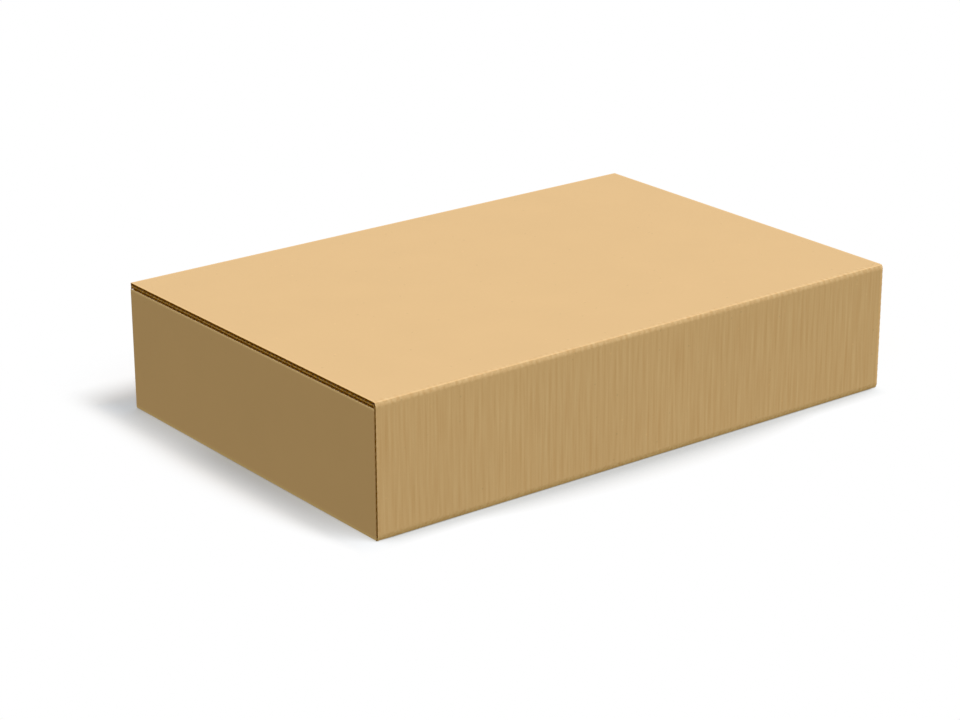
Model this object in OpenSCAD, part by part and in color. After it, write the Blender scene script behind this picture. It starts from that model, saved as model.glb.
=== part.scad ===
// Closed box folded from one die-cut sheet of single-wall corrugated board.
// The near long wall folds over at the top into the outer top panel, which covers the whole box.
// The far long wall folds over one board lower, into the inner top panel that lies under it.
// Each end wall is hinged at the bottom. It stands inside the near long wall, laps over the end of
// the far long wall and folds in at the top as an end flap. The flutes run along X, so the ends of
// both top panels and of the near long wall show the wavy medium between its two liners.
// Origin: middle of the underside. X along the length, Y along the width, Z up.

/* [Outside of the closed box] */
// Length, from end wall to end wall
box_length = 300.7; // [200:0.1:500]
// Width, from long wall to long wall
box_width = 200; // [120:1:400]
// Height, over both top panels
box_height = 63.5; // [30:0.5:160]

/* [Corrugated board] */
// Thickness of each of the two liners
liner = 0.2; // [0.15:0.05:0.4]
// Thickness of the wavy medium between them
medium = 0.2; // [0.15:0.05:0.3]
// Height of a flute, from liner to liner
flute_height = 1.2; // [0.9:0.1:2.5]
// Distance from one flute to the next
flute_pitch = 3.4; // [2.6:0.1:8]
// Width of the glued line where the medium meets a liner
bond_width = 0.6; // [0.3:0.1:0.9]

/* [Folds] */
// Inner radius of the soft creases along the near long wall
crease_inner = 0.2; // [0.1:0.05:0.6]
// Height left of a flute where a soft crease crushes it
crushed_flute = 0.5; // [0.2:0.1:0.8]
// Outer radius of the tight creases, which are sharp inside, at the far long wall and the end walls
tight_outer = 0.6; // [0.4:0.1:1.1]
// Slit between an end wall and the long wall beside it
corner_slit = 0.2; // [0.15:0.05:1]
// How far an end wall stands out past the cut ends of the near long wall and of the top panels
end_wall_proud = 0.5; // [0.2:0.1:1]
// How far the far edge of an end wall lies in from the outside of the far long wall
end_wall_inset = 0.7; // [0.2:0.1:1.5]
// Air between two panels that lie on each other
layer_gap = 0.15; // [0.1:0.05:0.4]

/* [Flaps inside] */
// How far an end flap reaches in from the outside of its end wall
end_flap_reach = 70; // [20:1:95]
// How much an end flap narrows on each side towards its free edge
end_flap_taper = 4; // [0:0.5:15]
// Space between the free edge of the inner top panel and the near long wall
inner_top_space = 1; // [0.5:0.1:10]

/* [Hidden] */
board = flute_height + 2 * liner;
crease_outer = crease_inner + board;
inner_top_z = box_height - board - layer_gap;
end_flap_z = inner_top_z - board - layer_gap;
cut_length = box_length - 2 * end_wall_proud;
far_wall_length = box_length - 2 * (board + corner_slit);
end_wall_width = box_width - board - corner_slit - end_wall_inset;
wave_height = (flute_height - medium) / 2;
bond_angle = 180 * bond_width / flute_pitch;
wave_steps = 4;
$fn = 48;

// Slope of the medium, in degrees, at angle a of its wave
function wave_slope(a) = atan(-wave_height * 2 * PI / flute_pitch * sin(a));

// Point on the upper face of the medium at angle a of its wave, a crest being at 0
function wave_face(a) =
    [flute_pitch * a / 360, wave_height * cos(a)]
    + medium / 2 * [-sin(wave_slope(a)), cos(wave_slope(a))];

// Outline of the hollow above the medium, from one crest to the next
function flute_hollow() = concat(
    [[bond_width / 2, flute_height / 2]],
    [for (k = [0 : wave_steps]) wave_face(bond_angle + k * (360 - 2 * bond_angle) / wave_steps)],
    [[flute_pitch - bond_width / 2, flute_height / 2]]
);

// Hollows of a run of flutes, above and below the medium, about the middle of the board
module flute_row(count) {
    for (i = [0 : 1 : count - 1])
        translate([i * flute_pitch, 0]) polygon(flute_hollow());
    for (i = [0 : 1 : count - 2])
        translate([(i + 0.5) * flute_pitch, 0]) mirror([0, 1]) polygon(flute_hollow());
}

// Cut section of a run of board, its whole flutes centred in it
module board_run(run) {
    count = floor(run / flute_pitch);
    difference() {
        square([run, board]);
        translate([(run - count * flute_pitch) / 2, board / 2]) flute_row(count);
    }
}

// Quarter of a ring about the origin, in the corner between +X and +Y
module quarter_ring(inner, outer) {
    intersection() {
        difference() {
            circle(r = outer);
            circle(r = inner);
        }
        square(outer);
    }
}

// Section of a soft crease along the flutes, with the crushed flute in its middle
module soft_crease() {
    middle = crease_inner + board / 2;
    difference() {
        quarter_ring(crease_inner, crease_outer);
        quarter_ring(middle - crushed_flute / 2, middle + crushed_flute / 2);
    }
}

// Section of a tight crease, with its rounded outside corner at the origin
module tight_crease() {
    translate([tight_outer, tight_outer]) rotate(180) quarter_ring(0, tight_outer);
    translate([0, tight_outer]) square([board, board - tight_outer]);
    translate([tight_outer, 0]) square([board - tight_outer, board]);
}

// Section of the near long wall, with its outer face on the Y axis and the board to the right of it
module near_wall_section() {
    translate([crease_outer, crease_outer]) rotate(180) soft_crease();
    translate([board, crease_outer]) rotate(90) board_run(box_height - 2 * crease_outer);
    translate([crease_outer, box_height - crease_outer]) rotate(90) soft_crease();
}

// Near long wall with the outer top panel, cut square at both ends
module near_wall_and_outer_top() {
    rotate([90, 0, 90]) linear_extrude(cut_length, center = true) translate([-box_width / 2, 0]) {
        near_wall_section();
        translate([crease_outer, box_height - board]) board_run(box_width - crease_outer);
    }
}

// Inner top panel with the crease at its root, stopping short of the near long wall
module inner_top() {
    inner_top_run = box_width - 2 * board - inner_top_space;
    mirror([0, 1, 0]) rotate([90, 0, 90]) linear_extrude(cut_length, center = true)
        translate([-box_width / 2, inner_top_z]) {
            mirror([0, 1]) tight_crease();
            translate([board, -board]) board_run(inner_top_run);
        }
}

// Far long wall from its foot to the root of the inner top panel, with its ends cut back
module far_wall() {
    mirror([0, 1, 0]) rotate([90, 0, 90]) linear_extrude(far_wall_length, center = true)
        translate([-box_width / 2, 0]) {
            tight_crease();
            translate([board, board]) rotate(90) board_run(inner_top_z - 2 * board);
            translate([0, inner_top_z]) mirror([0, 1]) tight_crease();
        }
}

// Bottom panel between the creases at its edges
module bottom_panel() {
    panel_width = box_width - crease_outer - tight_outer;
    translate([tight_outer - box_length / 2, crease_outer - box_width / 2, 0])
        cube([box_length - 2 * tight_outer, panel_width, board]);
}

// End wall at -X, with the creases at its foot and at its head
module end_wall() {
    translate([0, box_width / 2 - end_wall_inset, 0]) rotate([90, 0, 0])
        linear_extrude(end_wall_width) translate([-box_length / 2, 0]) {
            tight_crease();
            translate([0, tight_outer]) square([board, end_flap_z - 2 * tight_outer]);
            translate([0, end_flap_z]) mirror([0, 1]) tight_crease();
        }
}

// End flap at -X, folded in at the head of its end wall
module end_flap() {
    root = box_width / 2 - board - corner_slit;
    tip = root - end_flap_taper;
    translate([-box_length / 2, 0, end_flap_z - board]) linear_extrude(board) polygon([
        [tight_outer, -root], [end_flap_reach, -tip], [end_flap_reach, tip], [tight_outer, root]
    ]);
}

// The whole folded sheet
module folded_box() {
    color([0.86, 0.73, 0.54]) union() {
        near_wall_and_outer_top();
        inner_top();
        far_wall();
        bottom_panel();
        for (side = [0, 1]) mirror([side, 0, 0]) {
            end_wall();
            end_flap();
        }
    }
}

folded_box();
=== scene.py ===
"""Closed corrugated box: three plies of one folded sheet, on a white studio floor."""

import math

import bmesh
import bpy
from mathutils import Matrix, Vector, noise


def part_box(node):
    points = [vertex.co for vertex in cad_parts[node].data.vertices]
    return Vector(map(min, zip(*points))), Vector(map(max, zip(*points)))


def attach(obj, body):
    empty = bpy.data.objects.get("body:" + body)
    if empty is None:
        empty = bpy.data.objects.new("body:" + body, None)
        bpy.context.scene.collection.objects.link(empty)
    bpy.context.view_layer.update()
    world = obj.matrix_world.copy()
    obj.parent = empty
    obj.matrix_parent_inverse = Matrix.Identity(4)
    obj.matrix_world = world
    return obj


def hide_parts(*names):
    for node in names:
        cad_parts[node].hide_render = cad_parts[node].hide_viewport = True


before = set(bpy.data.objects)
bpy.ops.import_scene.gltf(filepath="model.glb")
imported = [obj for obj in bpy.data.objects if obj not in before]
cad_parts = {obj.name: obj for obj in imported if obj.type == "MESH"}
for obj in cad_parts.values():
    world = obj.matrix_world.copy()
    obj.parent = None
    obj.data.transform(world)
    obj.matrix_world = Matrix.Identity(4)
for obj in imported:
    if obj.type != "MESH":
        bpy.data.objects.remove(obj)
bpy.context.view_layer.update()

# All sizes are in metres. This distance counts as none.
TINY = 1e-6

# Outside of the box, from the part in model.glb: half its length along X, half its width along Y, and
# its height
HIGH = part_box("folded_box")[1]
HALF_LENGTH = HIGH.x
HALF_WIDTH = HIGH.y
HEIGHT = HIGH.z

# Board: two liners, with the wavy medium between them
LINER = 0.0002
MEDIUM = 0.0002
FLUTE_HEIGHT = 0.0012
FLUTE_PITCH = 0.0034
BOARD = FLUTE_HEIGHT + 2 * LINER

# Soft creases along the near long wall, tight creases at the other walls, and air between panels
SOFT_INNER = 0.0002
SOFT_OUTER = SOFT_INNER + BOARD
TIGHT_OUTER = 0.0006
CORNER_SLIT = 0.0002
LAYER_GAP = 0.00002

# Where the panels end. The end walls stand proud of the cut ends of the near long wall and of the
# top panels, are pressed over the near one, and lie in from the outside of the far long wall.
END_WALL_PROUD = 0.0005
PRESSED_IN = 0.0008
END_WALL_INSET = 0.0005
CUT_HALF = HALF_LENGTH - END_WALL_PROUD
FAR_WALL_HALF = HALF_LENGTH - BOARD - CORNER_SLIT
END_WALL_NEAR = BOARD + CORNER_SLIT - PRESSED_IN - HALF_WIDTH
END_WALL_FAR = HALF_WIDTH - END_WALL_INSET
INNER_TOP_Z = HEIGHT - BOARD - LAYER_GAP
INNER_TOP_SPACE = 0.001
INNER_TOP_EDGE = BOARD + INNER_TOP_SPACE - HALF_WIDTH
END_FLAP_Z = INNER_TOP_Z - BOARD - LAYER_GAP
END_FLAP_HALF = HALF_WIDTH - BOARD - CORNER_SLIT
END_FLAP_REACH = 0.070
END_FLAP_TAPER = 0.004

# Line across the bottom panel where the mesh of an end wall takes over
END_JOINT = HALF_LENGTH - 0.0015

# Soft creases of the outer liner at the head and foot of the near long wall. The wall leans in over a
# band beside the edge, bends into the band from its flat part, and turns the edge with a small radius.
HEAD_LEAN = 0.00072
HEAD_BAND = 0.00165
HEAD_BEND = 0.00075
HEAD_EDGE = 0.00025
FOOT_LEAN = 0.00075
FOOT_BAND = 0.0021
FOOT_BEND = 0.00092
FOOT_EDGE = 0.00075

# The outer top panel drops a little, over its last reach before the head
HEAD_DROP = 0.00012
DROP_REACH = 0.0025

# Ends of the flat part of the near long wall, just clear of the bends
BEND_CLEAR = 0.0001
WALL_TOP = HEIGHT - HEAD_BAND - HEAD_BEND - BEND_CLEAR
WALL_FOOT = FOOT_BAND + FOOT_BEND + BEND_CLEAR

# Creases of the outer liner at the foot and head of an end wall, with a roll up in front of the
# inner top panel at the head
END_FOOT_OUTER = 0.0011
HEAD_ROLL = 0.0003
ROLL_OUTER = 0.0003
ROLL_INNER = 0.00018

# Ends of the near long wall, crushed where the end walls are pressed against it
CRUSH = 0.0005
CRUSH_REACH = (0.0013, 0.0024)
CRUSH_FADE = 0.0012

# Ribs that show through the outer liner of the long walls, and fade towards creases and ends
RIB_COUNT = 88
RIB_PITCH = 2 * CUT_HALF / RIB_COUNT
RIB_STEPS = 8
RIB_DEPTH = 0.00004
RIB_FADE = 0.0045
FADE_ROWS = (0.0, 0.3, 0.6, 1.0)

# Marks that the ribs leave where they run into the crease over the near long wall
CREASE_MARK = 0.00008

# Dips of a liner between its flutes where the cutting die pressed the edge of the board
DIP_DEPTH = 0.00014
DIP_REACH = 0.0016
DIP_SPACING = FLUTE_PITCH / 6
DIP_FADE = 0.001

# Angles in degrees: an edge is sharp past the first, or past the second where it bounds a face that
# is square to the axes to within the third
SHARP_ANGLE = 30
FLAT_ANGLE = 3.5
FLAT_NORMAL = math.cos(math.radians(0.5))

# Wavy medium, with flutes that are a little shifted and a little lower here and there
WAVE_STEPS = 14
WAVE_HEIGHT = (FLUTE_HEIGHT - MEDIUM) / 2
WAVE_SHIFT = 0.00018
WAVE_LOSS = 0.12

# Colours of the paper in linear light: the liners and their fibres, the liner stretched over a
# crease, paler and also standing in for painted highlight and bounce light there, the medium and its
# fibres, the inside, and the liners at their cut ends
KRAFT = (0.835, 0.557, 0.269)
KRAFT_FIBRE_DARK = (0.640, 0.390, 0.160)
KRAFT_FIBRE_LIGHT = (0.900, 0.640, 0.340)
CREASE_PALE_AND_LIT_KRAFT = (1.000, 0.722, 0.345)
FLUTING = (0.500, 0.215, 0.010)
FLUTING_FIBRE_DARK = (0.380, 0.155, 0.006)
INSIDE_KRAFT = (0.700, 0.460, 0.220)
CUT_KRAFT_DARK = (0.440, 0.230, 0.018)
CUT_KRAFT_LIGHT = (0.920, 0.550, 0.090)

# How much of the pale crease colour, paler paper with painted light, the creases take, and how much
# lighter the painted highlight makes the rims of the outer top panel and the right cut end of the
# near long wall
CREASE_PALE_AND_LIT_SHARE = 0.5
RIM_PAINTED_HIGHLIGHT = 0.09
WALL_RIM_PAINTED_HIGHLIGHT = 0.22

# Fibres of the paper, as layers of streaks: how many to the millimetre, how they are stretched, how
# each layer is turned, and how much of their colour shows
FIBRES_PER_MM = 1.3
FIBRE_STRETCH = (0.35, 2.6, 2.6)
FIBRE_TURNS = [(0.2, 0.3, 0.4), (0.1, 1.2, 1.9), (1.3, 0.2, 2.7), (0.9, 1.0, 1.1)]
FIBRE_SHARE = 0.16

# Clouds and specks of the liners, and the height and strength of the paper's grain
CLOUD_SHADE = 0.05
DARK_SPECK = 0.10
LIGHT_SPECK = 0.07
GRAIN_HEIGHT = 0.00006
LINER_GRAIN = 0.35
MEDIUM_GRAIN = 0.4
LINER_ROUGHNESS = 0.88
MEDIUM_ROUGHNESS = 0.93

# Painted shade on the cut ends of the near long wall: how light they are, and how much more or less at
# a flute
WALL_CUT_PAINTED_SHADE = 0.46
FLUTE_HOLLOW_PAINTED_SHADE = 0.18

# Fine lines of the long walls: painted shade and highlight of the ribs as upright lines, and streaks,
# between the creases, painted shade as marks between the ribs at the near crease, and an uneven tone
# along the creases at the head and at the foot
RIB_LINE_PAINTED_SHADE = 0.016
STREAK_SHADE = 0.25
BEAD_PAINTED_SHADE = 0.036
HEAD_SHADE = 0.30
FOOT_SHADE = 0.45

# How strongly red, green and blue follow the painted rib shade, the streaks and the grain, so that
# these stay neutral
FINE_SHADE = (0.80, 1.38, 2.07)

# Floor as the camera sees it: its white far from the box and close to it, where it is tinted blue
# against the box's warm bounce, its tone in the densest painted contact shadow and how much of that
# it takes, its glow, and how far the painted contact shadow reaches. Its bounce is what the box gets
# from it.
FLOOR_FAR = (0.900, 0.91, 0.925)
FLOOR_CLOSE = (0.840, 0.91, 0.995)
FLOOR_PAINTED_SHADOW = (0.515, 0.555, 0.60)
PAINTED_SHADOW_SHARE = 0.95
FLOOR_GLOW = 0.13
FLOOR_BOUNCE = (0.31, 0.274, 0.14)
CONTACT_REACH = 0.035
FLOOR_SIZE = 15.0
FLOOR_DROP = 0.00005

# Light: an even surround, and soft lamps with their level on a surface that faces them, their width
# in degrees, the way to them, and their colour
WHITE = (1.0, 1.0, 1.0)
SURROUND_LEVEL = 0.38
LAMPS = {
    "key": (0.475, 22, (0.25, -0.41, 1.0), WHITE),
    "overhead": (0.15, 60, (0.0, 0.25, 1.0), WHITE),
    "fill": (0.048, 60, (0.1, -1.0, 0.5), (1.0, 1.0, 0.7)),
}

# Camera: a long lens, in millimetres, with its place, its view and its roll in degrees
SENSOR_WIDTH = 36.0
LENS_LENGTH = 99.602
CAMERA_PLACE = (-0.74380, -0.94702, 0.46436)
CAMERA_VIEW = (0.57047, 0.74465, -0.34651)
CAMERA_ROLL = 0.185


def first_crest(run):
    """Distance from the root of a run of whole flutes to its first crest."""
    count = math.floor(run / FLUTE_PITCH + TINY)
    return (run - count * FLUTE_PITCH) / 2


# Runs of the fluted panels from their roots, and where their first crests lie across the box
OUTER_TOP_RUN = 2 * HALF_WIDTH - SOFT_OUTER
INNER_TOP_RUN = 2 * HALF_WIDTH - 2 * BOARD - INNER_TOP_SPACE
NEAR_WALL_RUN = HEIGHT - 2 * SOFT_OUTER
FAR_WALL_RUN = INNER_TOP_Z - 2 * BOARD
OUTER_TOP_CREST = SOFT_OUTER - HALF_WIDTH + first_crest(OUTER_TOP_RUN)
INNER_TOP_CREST = HALF_WIDTH - BOARD - first_crest(INNER_TOP_RUN)
NEAR_WALL_CREST = SOFT_OUTER + first_crest(NEAR_WALL_RUN)


def wave_phase(place, crest):
    """Angle of the flute wave at a place, counted from a crest that touches the outer liner."""
    return 2 * math.pi * (place - crest) / FLUTE_PITCH


def smooth(value):
    """Smooth step from 0 to 1."""
    t = min(max(value, 0.0), 1.0)
    return t * t * (3 - 2 * t)


def section(corners, steps=8):
    """Path through corners (a, b, reach) of a folded board, with a curve for each crease that
    leaves the two straight lines at its reach from the corner."""
    points = [Vector(c[:2]) for c in corners]
    path = [points[0]]
    for i in range(1, len(points) - 1):
        radius = corners[i][2]
        if radius <= TINY:
            path.append(points[i])
            continue
        back = (points[i - 1] - points[i]).normalized() * radius
        on = (points[i + 1] - points[i]).normalized() * radius
        middle = points[i] + back + on
        for k in range(steps + 1):
            turn = math.pi / 2 * k / steps
            path.append(middle - on * math.cos(turn) - back * math.sin(turn))
    path.append(points[-1])
    return [p for i, p in enumerate(path) if i == 0 or (p - path[i - 1]).length > TINY]


def sweep(bm, points, start, stop, outside):
    """Strip through the points of a section, swept from start to stop. The face that lies farthest
    to the outside is turned that way."""
    here = bm.verts.new(start + points[0])
    path = []
    for point in points[1:]:
        step = bmesh.ops.extrude_vert_indiv(bm, verts=[here])
        here = step["verts"][0]
        here.co = start + point
        path += step["edges"]
    moved = bmesh.ops.extrude_edge_only(bm, edges=path)["geom"]
    ends = [g for g in moved if isinstance(g, bmesh.types.BMVert)]
    bmesh.ops.translate(bm, verts=ends, vec=stop - start)
    faces = [g for g in moved if isinstance(g, bmesh.types.BMFace)]
    bm.normal_update()
    outside = Vector(outside)
    farthest = max(faces, key=lambda f: f.calc_center_median().dot(outside))
    if farthest.normal.dot(outside) < 0:
        bmesh.ops.reverse_faces(bm, faces=faces)


def sweep_along_x(bm, points, half, outside):
    """Strip along the length of the box through points (y, z)."""
    points = [Vector((0, y, z)) for y, z in points]
    sweep(bm, points, Vector((-half, 0, 0)), Vector((half, 0, 0)), outside)


def cut_across(bm, place, normal, faces):
    """Cuts the faces where a plane meets them, and leaves the mesh whole."""
    edges = {e for f in faces for e in f.edges}
    verts = {v for f in faces for v in f.verts}
    bmesh.ops.bisect_plane(
        bm, geom=[*faces, *edges, *verts], plane_co=place, plane_no=normal, dist=TINY / 10
    )


def near_wall_and_outer_top(bm, depth):
    """Outer top panel, near long wall and bottom panel at a depth under the board's outside."""
    near, head, radius = depth - HALF_WIDTH, HEIGHT - depth, SOFT_OUTER - depth
    fold_over, fold_under = [(near, head, radius)], [(near, depth, radius)]
    if depth < TINY:
        fold_over = [
            (near + DROP_REACH, head, HEAD_BEND),
            (near + HEAD_LEAN, head - HEAD_DROP, HEAD_EDGE),
            (near, head - HEAD_BAND, HEAD_BEND),
        ]
        fold_under = [(near, depth + FOOT_BAND, FOOT_BEND), (near + FOOT_LEAN, depth, FOOT_EDGE)]
    rows = [WALL_TOP - RIB_FADE * t for t in FADE_ROWS]
    rows += [WALL_FOOT + RIB_FADE * t for t in FADE_ROWS[::-1]]
    top = section([(HALF_WIDTH, head, 0), *fold_over, (near, rows[0], 0)])
    middle = [Vector((near, z)) for z in rows[1:-1]]
    far_foot = HALF_WIDTH - max(TIGHT_OUTER, depth)
    foot = section([(near, rows[-1], 0), *fold_under, (far_foot, depth, 0)])
    sweep_along_x(bm, [*top, *middle, *foot], CUT_HALF, (0, 0, 1))
    bottom = [f for f in bm.faces if all(v.co.z < depth + TINY for v in f.verts)]
    for side in (-1, 1):
        cut_across(bm, (side * END_JOINT, 0, 0), (1, 0, 0), bottom)
        bottom = [f for f in bm.faces if all(v.co.z < depth + TINY for v in f.verts)]
    beyond = [f for f in bottom if abs(f.calc_center_median().x) > END_JOINT]
    bmesh.ops.delete(bm, geom=beyond, context="FACES")


def far_wall_and_inner_top(bm, depth):
    """Far long wall, with its ends cut back, and inner top panel with the crease at its root."""
    far, radius = HALF_WIDTH - depth, TIGHT_OUTER - depth
    root = INNER_TOP_Z - BOARD
    foot = [(far, depth, 0)]
    if radius > 0:
        foot = [(HALF_WIDTH - TIGHT_OUTER, depth, 0), (far, depth, radius)]
    rows = [2 * BOARD + RIB_FADE * t for t in FADE_ROWS]
    rows += [root - RIB_FADE * t for t in FADE_ROWS[::-1]]
    wall = section([*foot, (far, rows[0], 0)])
    wall += [Vector((far, z)) for z in rows[1:]]
    sweep_along_x(bm, wall, FAR_WALL_HALF, (0, 1, 0))
    head = INNER_TOP_Z - depth
    top = section([(far, root, 0), (far, head, radius), (INNER_TOP_EDGE, head, 0)])
    sweep_along_x(bm, top, CUT_HALF, (0, 0, 1))


def end_wall(bm, depth, side):
    """End wall and end flap, turned up out of the bottom panel at one end of the box."""
    out, head, radius = HALF_LENGTH - depth, END_FLAP_Z - depth, TIGHT_OUTER - depth
    fold_in = [(out, head, radius)]
    if depth < TINY:
        crown, lip, radius = head + HEAD_ROLL, CUT_HALF + TINY, END_FOOT_OUTER
        fold_in = [(out, crown, ROLL_OUTER), (lip, crown, ROLL_INNER), (lip, head, 0)]
    path = section([
        (END_JOINT, depth, 0), (out, depth, radius), *fold_in, (HALF_LENGTH - BOARD, head, 0),
        (HALF_LENGTH - END_FLAP_REACH, head, 0),
    ])
    points = [Vector((side * x, 0, z)) for x, z in path]
    known = set(bm.verts)
    sweep(bm, points, Vector((0, END_WALL_NEAR, 0)), Vector((0, END_WALL_FAR, 0)), (side, 0, 0))
    for v in set(bm.verts) - known:
        if v.co.z < head - TINY:
            continue
        if abs(v.co.x) < HALF_LENGTH - BOARD + TINY:
            v.co.y = max(min(v.co.y, END_FLAP_HALF), -END_FLAP_HALF)
        if abs(v.co.x) < HALF_LENGTH - END_FLAP_REACH + TINY:
            v.co.y -= math.copysign(END_FLAP_TAPER, v.co.y)


def fold_sheet(bm, depth):
    """Whole folded sheet at a depth under the board's outside."""
    near_wall_and_outer_top(bm, depth)
    far_wall_and_inner_top(bm, depth)
    for side in (-1, 1):
        end_wall(bm, depth, side)


def lengthwise_edges(bm, keep):
    """Edges along the whole length of the box whose ends pass a test."""
    return [
        e for e in bm.edges
        if abs(e.verts[0].co.x - e.verts[1].co.x) > 1.9 * FAR_WALL_HALF
        and all(keep(v.co) for v in e.verts)
    ]


def add_ribs(bm):
    """Shallow ribs in the outer liner of the long walls, fading out towards creases and ends."""
    near_edge, far_edge = SOFT_OUTER - HALF_WIDTH + TINY, HALF_WIDTH - TINY
    head = INNER_TOP_Z - BOARD + TINY
    ribbed = lengthwise_edges(bm, lambda p: p.y < near_edge or (p.y > far_edge and p.z < head))
    cuts = RIB_COUNT * RIB_STEPS - 1
    bmesh.ops.subdivide_edges(bm, edges=ribbed, cuts=cuts, use_grid_fill=False)
    for v in bm.verts:
        near = v.co.y < near_edge
        if not near and not (v.co.y > far_edge and v.co.z < head):
            continue
        foot = WALL_FOOT if near else 2 * BOARD
        top = WALL_TOP if near else INNER_TOP_Z - BOARD
        inwards = 1 if near else -1
        wave = (1 - math.cos(2 * math.pi * v.co.x / RIB_PITCH)) / 2
        to_end = smooth((CUT_HALF - 2 * DIP_REACH - abs(v.co.x)) / RIB_FADE)
        if foot < v.co.z < top:
            to_crease = min(v.co.z - foot, top - v.co.z) / RIB_FADE
            v.co.y += inwards * smooth(to_crease) * to_end * RIB_DEPTH * wave
        if near and v.co.z > top - RIB_FADE:
            low, high = (v.co.z - top) / RIB_FADE + 1, (HEIGHT - v.co.z) / (HEIGHT - top)
            # Just over a half, so that a point midway between two ribs always goes with the same one
            rib = math.floor(v.co.x / RIB_PITCH + 0.51)
            amount = 1 + noise.noise((rib * 1.7, 0.3, 8.1))
            v.co.y += to_end * CREASE_MARK * amount * wave * smooth(low) * smooth(high)


def refine(bm, edges, spacing):
    """Cuts edges into lengths of about the spacing."""
    groups = {}
    for e in edges:
        groups.setdefault(round(e.calc_length() / spacing) - 1, []).append(e)
    for cuts, same in groups.items():
        if cuts > 0:
            bmesh.ops.subdivide_edges(bm, edges=same, cuts=cuts, use_grid_fill=False)


def press_edges(bm, level, axis, crest, inwards, extent):
    """Dips of a liner at both cut ends of a panel. The panel lies at a level on one axis (1 or 2),
    its flutes are counted from a crest on the other one, and inwards is the way of the dips."""
    other = 3 - axis

    def on_panel(v):
        return abs(v.co[axis] - level) < TINY and extent[0] < v.co[other] < extent[1]

    for side in (-1, 1):
        for back in (DIP_REACH, DIP_REACH / 2):
            panel = [f for f in bm.faces if all(on_panel(v) for v in f.verts)]
            cut_across(bm, (side * (CUT_HALF - back), 0, 0), (1, 0, 0), panel)
    band = [
        e for e in bm.edges
        if all(on_panel(v) and abs(v.co.x) > CUT_HALF - DIP_REACH - TINY for v in e.verts)
        and abs(e.verts[0].co.x - e.verts[1].co.x) < TINY
    ]
    refine(bm, band, DIP_SPACING)
    for v in bm.verts:
        if on_panel(v) and abs(v.co.x) > CUT_HALF - DIP_REACH:
            reach = 1 - (CUT_HALF - abs(v.co.x)) / DIP_REACH
            flute = round((v.co[other] - crest) / FLUTE_PITCH)
            amount = 0.75 + 0.5 * noise.noise((flute * 1.7, level * 900, math.copysign(3.1, v.co.x)))
            to_rim = min(v.co[other] - extent[0], extent[1] - v.co[other]) / DIP_FADE
            dip = (1 - math.cos(wave_phase(v.co[other], crest))) / 2
            v.co[axis] += inwards * DIP_DEPTH * amount * dip * smooth(reach) * smooth(to_rim)


def press_all_edges(bm, depth):
    """Dips at the cut ends of both top panels and of the near long wall."""
    outer = depth < TINY
    half = 0 if outer else FLUTE_PITCH / 2
    turn = 1 if outer else -1
    press_edges(bm, HEIGHT - depth, 2, OUTER_TOP_CREST + half, -turn,
                (DROP_REACH + HEAD_BEND - HALF_WIDTH, HALF_WIDTH + TINY))
    press_edges(bm, INNER_TOP_Z - depth, 2, INNER_TOP_CREST + half, -turn,
                (INNER_TOP_EDGE - TINY, HALF_WIDTH - TIGHT_OUTER + TINY))
    press_edges(bm, depth - HALF_WIDTH, 1, NEAR_WALL_CREST + half, turn,
                (SOFT_OUTER - TINY, HEIGHT - SOFT_OUTER + TINY))


def crush_ends(bm):
    """Presses what lies inside the outer liner of the near long wall towards it, at both ends."""
    inside = BOARD + TINY - HALF_WIDTH
    top, foot = END_FLAP_Z + CRUSH_FADE, SOFT_OUTER
    for side in (-1, 1):
        for reach in CRUSH_REACH:
            wall = [
                f for f in bm.faces
                if all(v.co.y < inside and foot < v.co.z < top for v in f.verts)
            ]
            cut_across(bm, (side * (CUT_HALF - reach), 0, 0), (1, 0, 0), wall)
    for v in bm.verts:
        if v.co.y > inside or not foot < v.co.z < top:
            continue
        back = CUT_HALF - abs(v.co.x)
        share = smooth(1 - (back - CRUSH_REACH[0]) / (CRUSH_REACH[1] - CRUSH_REACH[0]))
        share *= smooth((top - v.co.z) / CRUSH_FADE) * smooth((v.co.z - foot) / CRUSH_FADE)
        depth = (v.co.y + HALF_WIDTH - LINER) / FLUTE_HEIGHT
        v.co.y -= CRUSH * share * min(depth, 1.0)


def new_object(name, data):
    """Object of a mesh, a lamp or a camera, in the scene."""
    made = bpy.data.objects.new(name, data)
    bpy.context.scene.collection.objects.link(made)
    return made


def new_mesh_object(name, bm, material):
    """Object with the finished mesh, in a material."""
    mesh = bpy.data.meshes.new(name)
    bm.to_mesh(mesh)
    bm.free()
    mesh.materials.append(material)
    return new_object(name, mesh)


def paper_piece(name, bm, material, thickness):
    """Piece of paper from a sheet, thickened inwards, riding on the one body of the box."""
    bmesh.ops.solidify(bm, geom=list(bm.faces), thickness=thickness)
    bm.normal_update()
    for f in bm.faces:
        f.smooth = True
    for e in bm.edges:
        if len(e.link_faces) != 2:
            continue
        angle = math.degrees(e.calc_face_angle(0.0))
        flat = [max(abs(n) for n in f.normal) > FLAT_NORMAL for f in e.link_faces]
        e.smooth = angle < SHARP_ANGLE and not (angle > FLAT_ANGLE and any(flat))
    piece = new_mesh_object(name, bm, material)
    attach(piece, "root")
    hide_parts("folded_box")


def mm(metres):
    """Length in millimetres, in which the materials count."""
    return metres * 1000


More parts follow.
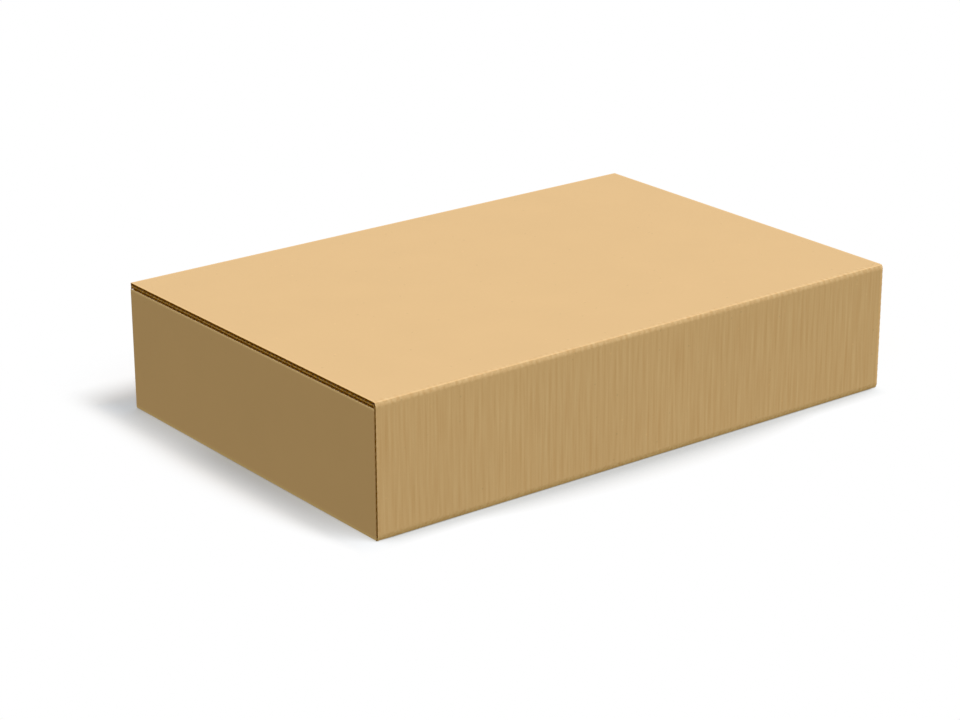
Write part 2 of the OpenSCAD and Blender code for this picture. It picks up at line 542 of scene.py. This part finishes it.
class Socket:
    """Output of a shader node, so that maths on it is written as plain expressions."""

    def __init__(self, nodes, output):
        self.nodes = nodes
        self.output = output

    def maths(self, operation, *values):
        """Result of an operation on this value and others."""
        names = dict(enumerate([self, *values]))
        return self.nodes.add("ShaderNodeMath", {"operation": operation}, names)

    def __add__(self, other):
        return self.maths("ADD", other)

    __radd__ = __add__

    def __sub__(self, other):
        return self.maths("SUBTRACT", other)

    def __rsub__(self, other):
        return self.nodes.add("ShaderNodeMath", {"operation": "SUBTRACT"}, {0: other, 1: self})

    def __mul__(self, other):
        return self.maths("MULTIPLY", other)

    __rmul__ = __mul__

    def __truediv__(self, other):
        return self.maths("DIVIDE", other)

    def __gt__(self, other):
        return self.maths("GREATER_THAN", other)

    def __abs__(self):
        return self.maths("ABSOLUTE")

    def at_least(self, other):
        return self.maths("MAXIMUM", other)

    def at_most(self, other):
        return self.maths("MINIMUM", other)

    def cosine(self):
        return self.maths("COSINE")

    def smooth_between(self, low, high):
        """Smooth step of this value from 0 at low to 1 at high."""
        return self.nodes.add(
            "ShaderNodeMapRange", {"interpolation_type": "SMOOTHSTEP"},
            {"Value": self, "From Min": low, "From Max": high, "To Min": 0.0, "To Max": 1.0},
        )


class Nodes:
    """Node tree of a material or of the world, with one method that adds any node."""

    def __init__(self, owner):
        owner.use_nodes = True
        self.tree = owner.node_tree
        self.tree.nodes.clear()

    def add(self, kind, settings=None, inputs=None, output=0):
        """Output of a new node of this kind, after its settings and the values or links of its
        inputs."""
        made = self.tree.nodes.new(kind)
        for setting, value in (settings or {}).items():
            setattr(made, setting, value)
        for key, value in (inputs or {}).items():
            if isinstance(value, Socket):
                self.tree.links.new(value.output, made.inputs[key])
            elif isinstance(value, tuple) and len(value) == 3 and made.inputs[key].type == "RGBA":
                made.inputs[key].default_value = (*value, 1.0)
            else:
                made.inputs[key].default_value = value
        return Socket(self, made.outputs[output]) if made.outputs else None

    def mix(self, share, first, second):
        """Colour between two colours."""
        return self.add(
            "ShaderNodeMix", {"data_type": "RGBA"}, {"Factor": share, 6: first, 7: second}, output=2
        )

    def scaled(self, colour, factors):
        """Colour with its red, green and blue scaled each by a factor."""
        factors = self.add("ShaderNodeCombineXYZ", {}, dict(enumerate(factors)))
        return self.add("ShaderNodeVectorMath", {"operation": "MULTIPLY"}, {0: colour, 1: factors})

    def millimetres(self):
        """Object coordinates in millimetres, as one vector."""
        place = self.add("ShaderNodeTexCoord", output="Object")
        return self.add("ShaderNodeVectorMath", {"operation": "SCALE"}, {0: place, "Scale": mm(1.0)})

    def split(self, vector):
        """The three parts of a vector."""
        parts = self.add("ShaderNodeSeparateXYZ", {}, {0: vector})
        outputs = parts.output.node.outputs
        return [Socket(self, outputs[i]) for i in range(3)]

    def noise(self, place, per_mm, detail=2.0, turn=(0, 0, 0), stretch=(1, 1, 1)):
        """Noise from 0 to 1, turned and stretched on its way."""
        turned = self.add(
            "ShaderNodeMapping", {}, {"Vector": place, "Rotation": turn, "Scale": stretch}
        )
        return self.add(
            "ShaderNodeTexNoise", {}, {"Vector": turned, "Scale": per_mm, "Detail": detail}
        )

    def specks(self, place, per_mm, size, share):
        """Small round marks in a share of the cells of a cell pattern."""
        cell = self.add("ShaderNodeTexVoronoi", {}, {"Vector": place, "Scale": per_mm})
        outputs = cell.output.node.outputs
        near = 1 - Socket(self, outputs["Distance"]).smooth_between(size * 0.5, size)
        chance, *_ = self.split(Socket(self, outputs["Color"]))
        return near * (1 - chance.smooth_between(share * 0.9, share))

    def bump(self, height, strength):
        """Normal of the paper's grain."""
        return self.add(
            "ShaderNodeBump", {}, {"Height": height, "Strength": strength, "Distance": GRAIN_HEIGHT}
        )

    def glow(self, colour, strength):
        """Plain glow of a colour."""
        return self.add("ShaderNodeEmission", {}, {"Color": colour, "Strength": strength})

    def wire_out(self, shader, kind="ShaderNodeOutputMaterial"):
        """Wires a shader to an output of this kind."""
        self.add(kind, {}, {"Surface": shader})

    def wire_surface(self, **surface):
        """Wires a principled surface with the given sockets to the output."""
        self.wire_out(self.add("ShaderNodeBsdfPrincipled", {}, surface))


def cut_ends(nodes, place):
    """Share of the raw cut board at both ends of the top panels and of the near long wall."""
    x, y, z = nodes.split(place)
    at_end = 1 - (abs(abs(x) - mm(CUT_HALF)) > 0.015)
    on_top = z > mm(END_FLAP_Z + HEAD_ROLL) + 0.03
    on_wall = -1 * y > mm(HALF_WIDTH - BOARD) - 0.05
    return at_end * on_top.at_least(on_wall)


def cut_kraft_and_painted_shade(nodes, place):
    """Colour of a liner at the cut ends: light and dark by turns, and on the near long wall darkened
    by painted shade, most of all where its flutes are hollow."""
    *_, z = nodes.split(place)
    light = nodes.noise(place, 0.5, 1.0).smooth_between(0.35, 0.65)
    colour = nodes.mix(light, CUT_KRAFT_DARK, CUT_KRAFT_LIGHT)
    turn = (z - mm(NEAR_WALL_CREST)) * (2 * math.pi / mm(FLUTE_PITCH))
    # Painted shade: the cut ends of the near long wall are darker, more or less at each flute
    on_wall = turn.cosine() * FLUTE_HOLLOW_PAINTED_SHADE + WALL_CUT_PAINTED_SHADE
    on_top = z.smooth_between(mm(END_FLAP_Z), mm(END_FLAP_Z) + 0.4)
    return nodes.scaled(colour, [on_wall + (1 - on_wall) * on_top] * 3)


def pale_and_painted_lit_creases(nodes, place):
    """Share of paler paper where the liner is stretched over the creases at the foot of the box and
    at the heads of the end walls, which also paints light there: painted highlight at the heads and
    painted bounce light from the floor at the foot."""
    x, y, z = nodes.split(place)
    length, width, flap = mm(HALF_LENGTH), mm(HALF_WIDTH), mm(END_FLAP_Z)
    foot = 1 - z.smooth_between(0.3, 2.6)
    at_end = abs(x).smooth_between(length - 1.6, length - 0.6) * foot
    at_side = abs(y).smooth_between(width - 2.0, width - 0.9) * (1 - z.smooth_between(0.5, 2.8))
    beyond = abs(x) > mm(CUT_HALF) + 0.03
    head = beyond * z.smooth_between(flap - 0.9, flap - 0.1)
    return (at_end * 1.7).at_least(at_side * 0.5).at_least(head * 1.5)


def top_rim_highlights(nodes, place):
    """Share of painted highlight along the rims of the outer top panel."""
    x, y, z = nodes.split(place)
    width, height = mm(HALF_WIDTH), mm(HEIGHT)
    crease = (-1 * y).smooth_between(width - 2.0, width - 1.0)
    cut = abs(x).smooth_between(mm(CUT_HALF) - 1.6, mm(CUT_HALF) - 0.5)
    free = y.smooth_between(width - 1.6, width - 0.5)
    on_top = z.smooth_between(height - 0.45, height - 0.2)
    return crease.at_least(cut).at_least(free) * on_top


def wall_rim_highlight(nodes, place):
    """Share of painted highlight along the right cut end of the near long wall."""
    x, y, _ = nodes.split(place)
    on_wall = (-1 * y).smooth_between(mm(HALF_WIDTH) - 0.5, mm(HALF_WIDTH) - 0.3)
    return x.smooth_between(mm(CUT_HALF) - 1.9, mm(CUT_HALF) - 0.2) * on_wall


def fibre_field(nodes, place):
    """Paper fibres as thin streaks that lie in several directions, from 0 to 1."""
    layers = [
        nodes.noise(place, FIBRES_PER_MM, 3.0, turn, FIBRE_STRETCH) for turn in FIBRE_TURNS
    ]
    return (layers[0] + layers[1] + layers[2] + layers[3]) / 4


def rib_stripe(x):
    """Wave from -1 to 1 with one crest over each rib of the long walls."""
    return (x * (2 * math.pi / mm(RIB_PITCH))).cosine()


def rib_painted_shade_and_streaks(nodes, place):
    """Painted shade and highlight of the ribs as lighter and darker upright lines on the long walls, of
    uneven strength, with thin streaks.
    """
    x, y, z = nodes.split(place)
    on_wall = abs(y).smooth_between(mm(HALF_WIDTH) - 0.9, mm(HALF_WIDTH) - 0.5)
    low_fade = z.smooth_between(0.5, 5.0)
    high_fade = 1 - z.smooth_between(mm(HEIGHT) - 5.0, mm(HEIGHT) - 1.0)
    uneven = nodes.noise(place, 0.12, 1.0, stretch=(1, 1, 0.3)) * 2
    streaks = nodes.noise(place, 0.75, 1.0, stretch=(1, 1, 0.045)) - 0.5
    lines = rib_stripe(x) * uneven * RIB_LINE_PAINTED_SHADE + streaks * STREAK_SHADE
    return lines * on_wall * low_fade * high_fade


def painted_crease_beads_and_grain(nodes, place):
    """Painted shade as darker marks between the ribs along the near crease at the top, and an uneven
    tone there and along the crease at the foot."""
    x, y, z = nodes.split(place)
    near = (-1 * y).smooth_between(mm(HALF_WIDTH) - 4.0, mm(HALF_WIDTH) - 1.2)
    head = z.smooth_between(mm(HEIGHT) - 3.6, mm(HEIGHT) - 1.2)
    foot = 1 - z.smooth_between(1.5, 4.5)
    uneven = nodes.noise(place, 0.16, 1.0) * 2
    grain = nodes.noise(place, 0.7, 1.0) - 0.5
    beads = rib_stripe(x) * uneven * head * BEAD_PAINTED_SHADE
    return (beads + grain * (head * HEAD_SHADE + foot * FOOT_SHADE)) * near


def kraft_paper(name, base, ribs=False):
    """Brown kraft liner: even colour with soft clouds, thin fibres and a few specks, with paler paper
    and painted light at the creases, painted highlights at the rims, painted shade at the cut ends of
    the near long wall, and painted shade of the ribs on a ribbed liner.
    """
    material = bpy.data.materials.new(name)
    nodes = Nodes(material)
    place = nodes.millimetres()
    clouds = nodes.noise(place, 0.03, 3.0)
    fibres = fibre_field(nodes, place)
    colour = nodes.mix((fibres - 0.5) * 1.4 + 0.5, KRAFT_FIBRE_DARK, KRAFT_FIBRE_LIGHT)
    colour = nodes.mix(FIBRE_SHARE, base, colour)
    # Paler paper over the creases, with painted highlight at the end wall heads and painted bounce
    # light at the foot
    colour = nodes.mix(pale_and_painted_lit_creases(nodes, place) * CREASE_PALE_AND_LIT_SHARE, colour, CREASE_PALE_AND_LIT_KRAFT)
    # Cut ends, with painted shade on those of the near long wall
    colour = nodes.mix(cut_ends(nodes, place), colour, cut_kraft_and_painted_shade(nodes, place))
    shade = 1 + (clouds - 0.5) * CLOUD_SHADE
    shade = shade - DARK_SPECK * nodes.specks(place, 0.16, 0.10, 0.4)
    shade = shade + LIGHT_SPECK * nodes.specks(place, 0.13, 0.09, 0.4)
    # Painted highlight along the rims of the outer top panel
    shade = shade + RIM_PAINTED_HIGHLIGHT * top_rim_highlights(nodes, place)
    fine = 0.0
    if ribs:
        # Painted highlight along the right cut end of the near long wall
        shade = shade + WALL_RIM_PAINTED_HIGHLIGHT * wall_rim_highlight(nodes, place)
        # Painted shade of the ribs and of the marks along the near crease, with streaks and an uneven
        # tone
        fine = rib_painted_shade_and_streaks(nodes, place) + painted_crease_beads_and_grain(nodes, place)
    colour = nodes.scaled(colour, [shade + fine * share for share in FINE_SHADE])
    bump = nodes.bump((fibres - 0.5) * 0.5, LINER_GRAIN)
    nodes.wire_surface(**{"Base Color": colour, "Roughness": LINER_ROUGHNESS, "Normal": bump})
    return material


def fluting_paper():
    """Wavy medium between the liners, rougher and darker than they are."""
    material = bpy.data.materials.new("fluting_paper")
    nodes = Nodes(material)
    place = nodes.millimetres()
    fibres = fibre_field(nodes, place)
    colour = nodes.mix((fibres - 0.5) * 0.8 + 0.5, FLUTING_FIBRE_DARK, FLUTING)
    nodes.wire_surface(**{
        "Base Color": colour, "Roughness": MEDIUM_ROUGHNESS, "Specular IOR Level": 0.0,
        "Normal": nodes.bump(fibres, MEDIUM_GRAIN),
    })
    return material


def close_edge(bm, start, stop, across, outside):
    """Strip of board paper between the two liners at an edge that runs from start to stop."""
    start, stop, across = Vector(start), Vector(stop), Vector(across)
    sweep(bm, [across * LINER, across * (BOARD - LINER)], start, stop, outside)


def outer_liner():
    """Paper on the outside of the whole sheet, with ribs on the long walls."""
    bm = bmesh.new()
    fold_sheet(bm, 0.0)
    add_ribs(bm)
    press_all_edges(bm, 0.0)
    for side in (-1, 1):
        out = side * HALF_LENGTH
        for edge, outside in ((END_WALL_NEAR, (0, -1, 0)), (END_WALL_FAR, (0, 1, 0))):
            foot, head = (out, edge, LINER), (out, edge, END_FLAP_Z - LINER)
            close_edge(bm, foot, head, (-side, 0, 0), outside)
    paper_piece("outer_liner", bm, kraft_paper("outer_kraft", KRAFT, ribs=True), LINER)


def inner_liner():
    """Paper on the inside of the whole sheet."""
    bm = bmesh.new()
    fold_sheet(bm, BOARD - LINER)
    press_all_edges(bm, BOARD - LINER)
    crush_ends(bm)
    paper_piece("inner_liner", bm, kraft_paper("inner_kraft", INSIDE_KRAFT), LINER)


def wavy_run(bm, run, half, place):
    """Run of the medium: a strip along the box, waved between the liners and put in its place.
    The strip is made along its own +X from 0 to run, and its crests point to its own +Z."""
    steps, crest = round(run / FLUTE_PITCH * WAVE_STEPS), first_crest(run)
    strip = bmesh.ops.create_grid(bm, x_segments=steps, y_segments=1, size=0.5)["verts"]
    for v in strip:
        along = (v.co.x + 0.5) * run
        flute = (along - crest) / FLUTE_PITCH
        shift = WAVE_SHIFT * noise.noise((flute * 0.9, run * 300, 0.5))
        height = 1 - WAVE_LOSS * abs(noise.noise((flute * 1.3, run * 500, 4.5)))
        wave = math.cos(wave_phase(along + shift, crest))
        v.co = (along, v.co.y * 2 * half, WAVE_HEIGHT * height * wave + MEDIUM / 2)
    bmesh.ops.transform(bm, matrix=place, verts=strip)


def axes_matrix(x_axis, y_axis, z_axis, origin):
    """Matrix that carries a strip's own axes to these axes and its origin to this point."""
    turn = Matrix((x_axis, y_axis, z_axis)).transposed().to_4x4()
    return Matrix.Translation(origin) @ turn


def fluted_medium():
    """Wavy paper between the liners of both long walls and both top panels, and in their free edges."""
    bm = bmesh.new()
    middle = BOARD / 2
    wavy_run(bm, OUTER_TOP_RUN, CUT_HALF, axes_matrix(
        (0, 1, 0), (-1, 0, 0), (0, 0, 1), (0, SOFT_OUTER - HALF_WIDTH, HEIGHT - middle)))
    wavy_run(bm, INNER_TOP_RUN, CUT_HALF, axes_matrix(
        (0, -1, 0), (1, 0, 0), (0, 0, 1), (0, HALF_WIDTH - BOARD, INNER_TOP_Z - middle)))
    wavy_run(bm, NEAR_WALL_RUN, CUT_HALF, axes_matrix(
        (0, 0, 1), (-1, 0, 0), (0, -1, 0), (0, middle - HALF_WIDTH, SOFT_OUTER)))
    crush_ends(bm)
    wavy_run(bm, FAR_WALL_RUN, FAR_WALL_HALF, axes_matrix(
        (0, 0, 1), (1, 0, 0), (0, 1, 0), (0, HALF_WIDTH - middle, BOARD)))
    for edge, height, outside in (
        (HALF_WIDTH, HEIGHT, (0, 1, 0)), (INNER_TOP_EDGE, INNER_TOP_Z, (0, -1, 0)),
    ):
        left, right = (-CUT_HALF, edge, height), (CUT_HALF, edge, height)
        close_edge(bm, left, right, (0, 0, -1), outside)
    bm.normal_update()
    paper_piece("medium", bm, fluting_paper(), MEDIUM)


def shadow_shares(nodes, place):
    """Three shares over the floor, from its place in millimetres: how much of the box's soft shadow
    is kept, the rest being painted over in white, how dense the painted shade makes it along the near
    long wall, and how close the box is."""
    x, y, _ = nodes.split(place)
    length, width = mm(HALF_LENGTH), mm(HALF_WIDTH)
    ahead, beside = 0 - y - width, 0 - x - length
    outside = (abs(x) - length).at_least(abs(y) - width)

    # Along the near long wall the shadow is kept full at the middle, and painted over in white to be
    # shorter and paler at its ends
    along = x * x / (length * length)
    front_reach = (18 - along * 27).at_least(6)
    front = (1 - along * along * along * 0.5) * (1 - (ahead - 3) / front_reach)
    before = ahead.smooth_between(-2, 1)
    painted_dense = before * (1 - along * 2.25).at_least(0)

    # Beside the left end wall it is kept full near the middle, and painted over in white to be shorter
    # and paler at the corners
    nearer = (12 - y).at_least(0) / 112
    near_fade = (nearer * nearer * 0.36 + nearer.maths("POWER", 8) * 0.3).at_most(1)
    farther = y.smooth_between(12, 60) * (1 - y.smooth_between(85, 110))
    left_reach = 34 - (nearer * nearer * 20).at_most(20) - y.smooth_between(20, 90) * 6
    left = 1 - near_fade - farther * 0.15
    left = left * (1 - beside.smooth_between(10, left_reach))
    at_left = beside.smooth_between(-10, 3)

    # The two meet at the near left corner, and the floor is painted white over the shadow at the near
    # right one and far away
    at_corner = left + (left.at_most(front) - left) * before
    elsewhere = 1 + (front - 1) * before
    kept = elsewhere + (at_corner - elsewhere) * at_left
    kept = kept.at_most(1).at_least(0) * (1 - outside.smooth_between(45, 90))
    at_right = (x - length).smooth_between(-6, 3) * (1 - y.smooth_between(-85, -35))
    return kept * (1 - at_right), painted_dense, 1 - outside.smooth_between(2, 20)


def studio_floor():
    """White floor that keeps the box's soft shadow, deepened by painted contact shadow and painted over
    in white by place, and gives the object a plain bounce.
    """
    material = bpy.data.materials.new("studio_floor")
    nodes = Nodes(material)
    kept, painted_dense, close = shadow_shares(nodes, nodes.millimetres())
    seen = nodes.add("ShaderNodeLightPath", output="Is Camera Ray")
    open_air = nodes.add(
        "ShaderNodeAmbientOcclusion", {"samples": 8}, {"Distance": CONTACT_REACH}, output=1
    )
    # Painted contact shadow: occlusion near the box darkens the floor's colour, more along the near
    # long wall
    open_air = open_air - (1 - open_air) * painted_dense * PAINTED_SHADOW_SHARE
    # Tinted blue close to the box, against the warm light that the box bounces onto the floor
    white = nodes.mix(close, FLOOR_FAR, FLOOR_CLOSE)
    white = nodes.mix(open_air, FLOOR_PAINTED_SHADOW, white)
    shaded = nodes.add("ShaderNodeBsdfDiffuse", {}, {"Color": white})
    lit = nodes.add("ShaderNodeAddShader", {}, {0: shaded, 1: nodes.glow(WHITE, FLOOR_GLOW)})
    # Where the kept share runs out, the floor is painted plain white over its shadow
    floor_seen = nodes.add("ShaderNodeMixShader", {}, {0: kept, 1: nodes.glow(WHITE, 1.0), 2: lit})
    bounce = nodes.glow(FLOOR_BOUNCE, 1.0)
    nodes.wire_out(nodes.add("ShaderNodeMixShader", {}, {0: seen, 1: bounce, 2: floor_seen}))
    bm = bmesh.new()
    bmesh.ops.create_grid(bm, x_segments=1, y_segments=1, size=FLOOR_SIZE)
    bmesh.ops.translate(bm, verts=list(bm.verts), vec=(0, 0, -FLOOR_DROP))
    new_mesh_object("floor", bm, material)


def soft_lamp(name, level, spread, towards, colour):
    """Lamp far off, of a level on a surface that faces it, as wide as spread in degrees."""
    lamp = bpy.data.lights.new(name, "SUN")
    lamp.energy = math.pi * level
    lamp.color = colour
    lamp.angle = math.radians(spread)
    turn = Vector(towards).normalized().to_track_quat("Z", "Y")
    new_object(name, lamp).rotation_euler = turn.to_euler()


def studio_light():
    """Soft lamps from the right, above and the front, and an even surround that the camera sees
    as white."""
    for name, values in LAMPS.items():
        soft_lamp(name, *values)
    world = bpy.context.scene.world or bpy.data.worlds.new("surround")
    bpy.context.scene.world = world
    nodes = Nodes(world)
    seen = nodes.add("ShaderNodeLightPath", output="Is Camera Ray")
    surround, white = [
        nodes.add("ShaderNodeBackground", {}, {"Color": WHITE, "Strength": level})
        for level in (SURROUND_LEVEL, 1.0)
    ]
    mixed = nodes.add("ShaderNodeMixShader", {}, {0: seen, 1: surround, 2: white})
    nodes.wire_out(mixed, "ShaderNodeOutputWorld")


def photo_camera():
    """Long lens, from the near left and a little above."""
    lens = bpy.data.cameras.new("camera")
    lens.sensor_width = SENSOR_WIDTH
    lens.lens = LENS_LENGTH
    camera = new_object("camera", lens)
    camera.location = CAMERA_PLACE
    view = Vector(CAMERA_VIEW)
    roll = Matrix.Rotation(math.radians(CAMERA_ROLL), 3, view)
    camera.rotation_euler = (roll @ view.to_track_quat("-Z", "Y").to_matrix()).to_euler()
    bpy.context.scene.camera = camera


photo_camera()
studio_light()
studio_floor()
outer_liner()
inner_liner()
fluted_medium()

bpy.context.scene.view_settings.view_transform = "Standard"
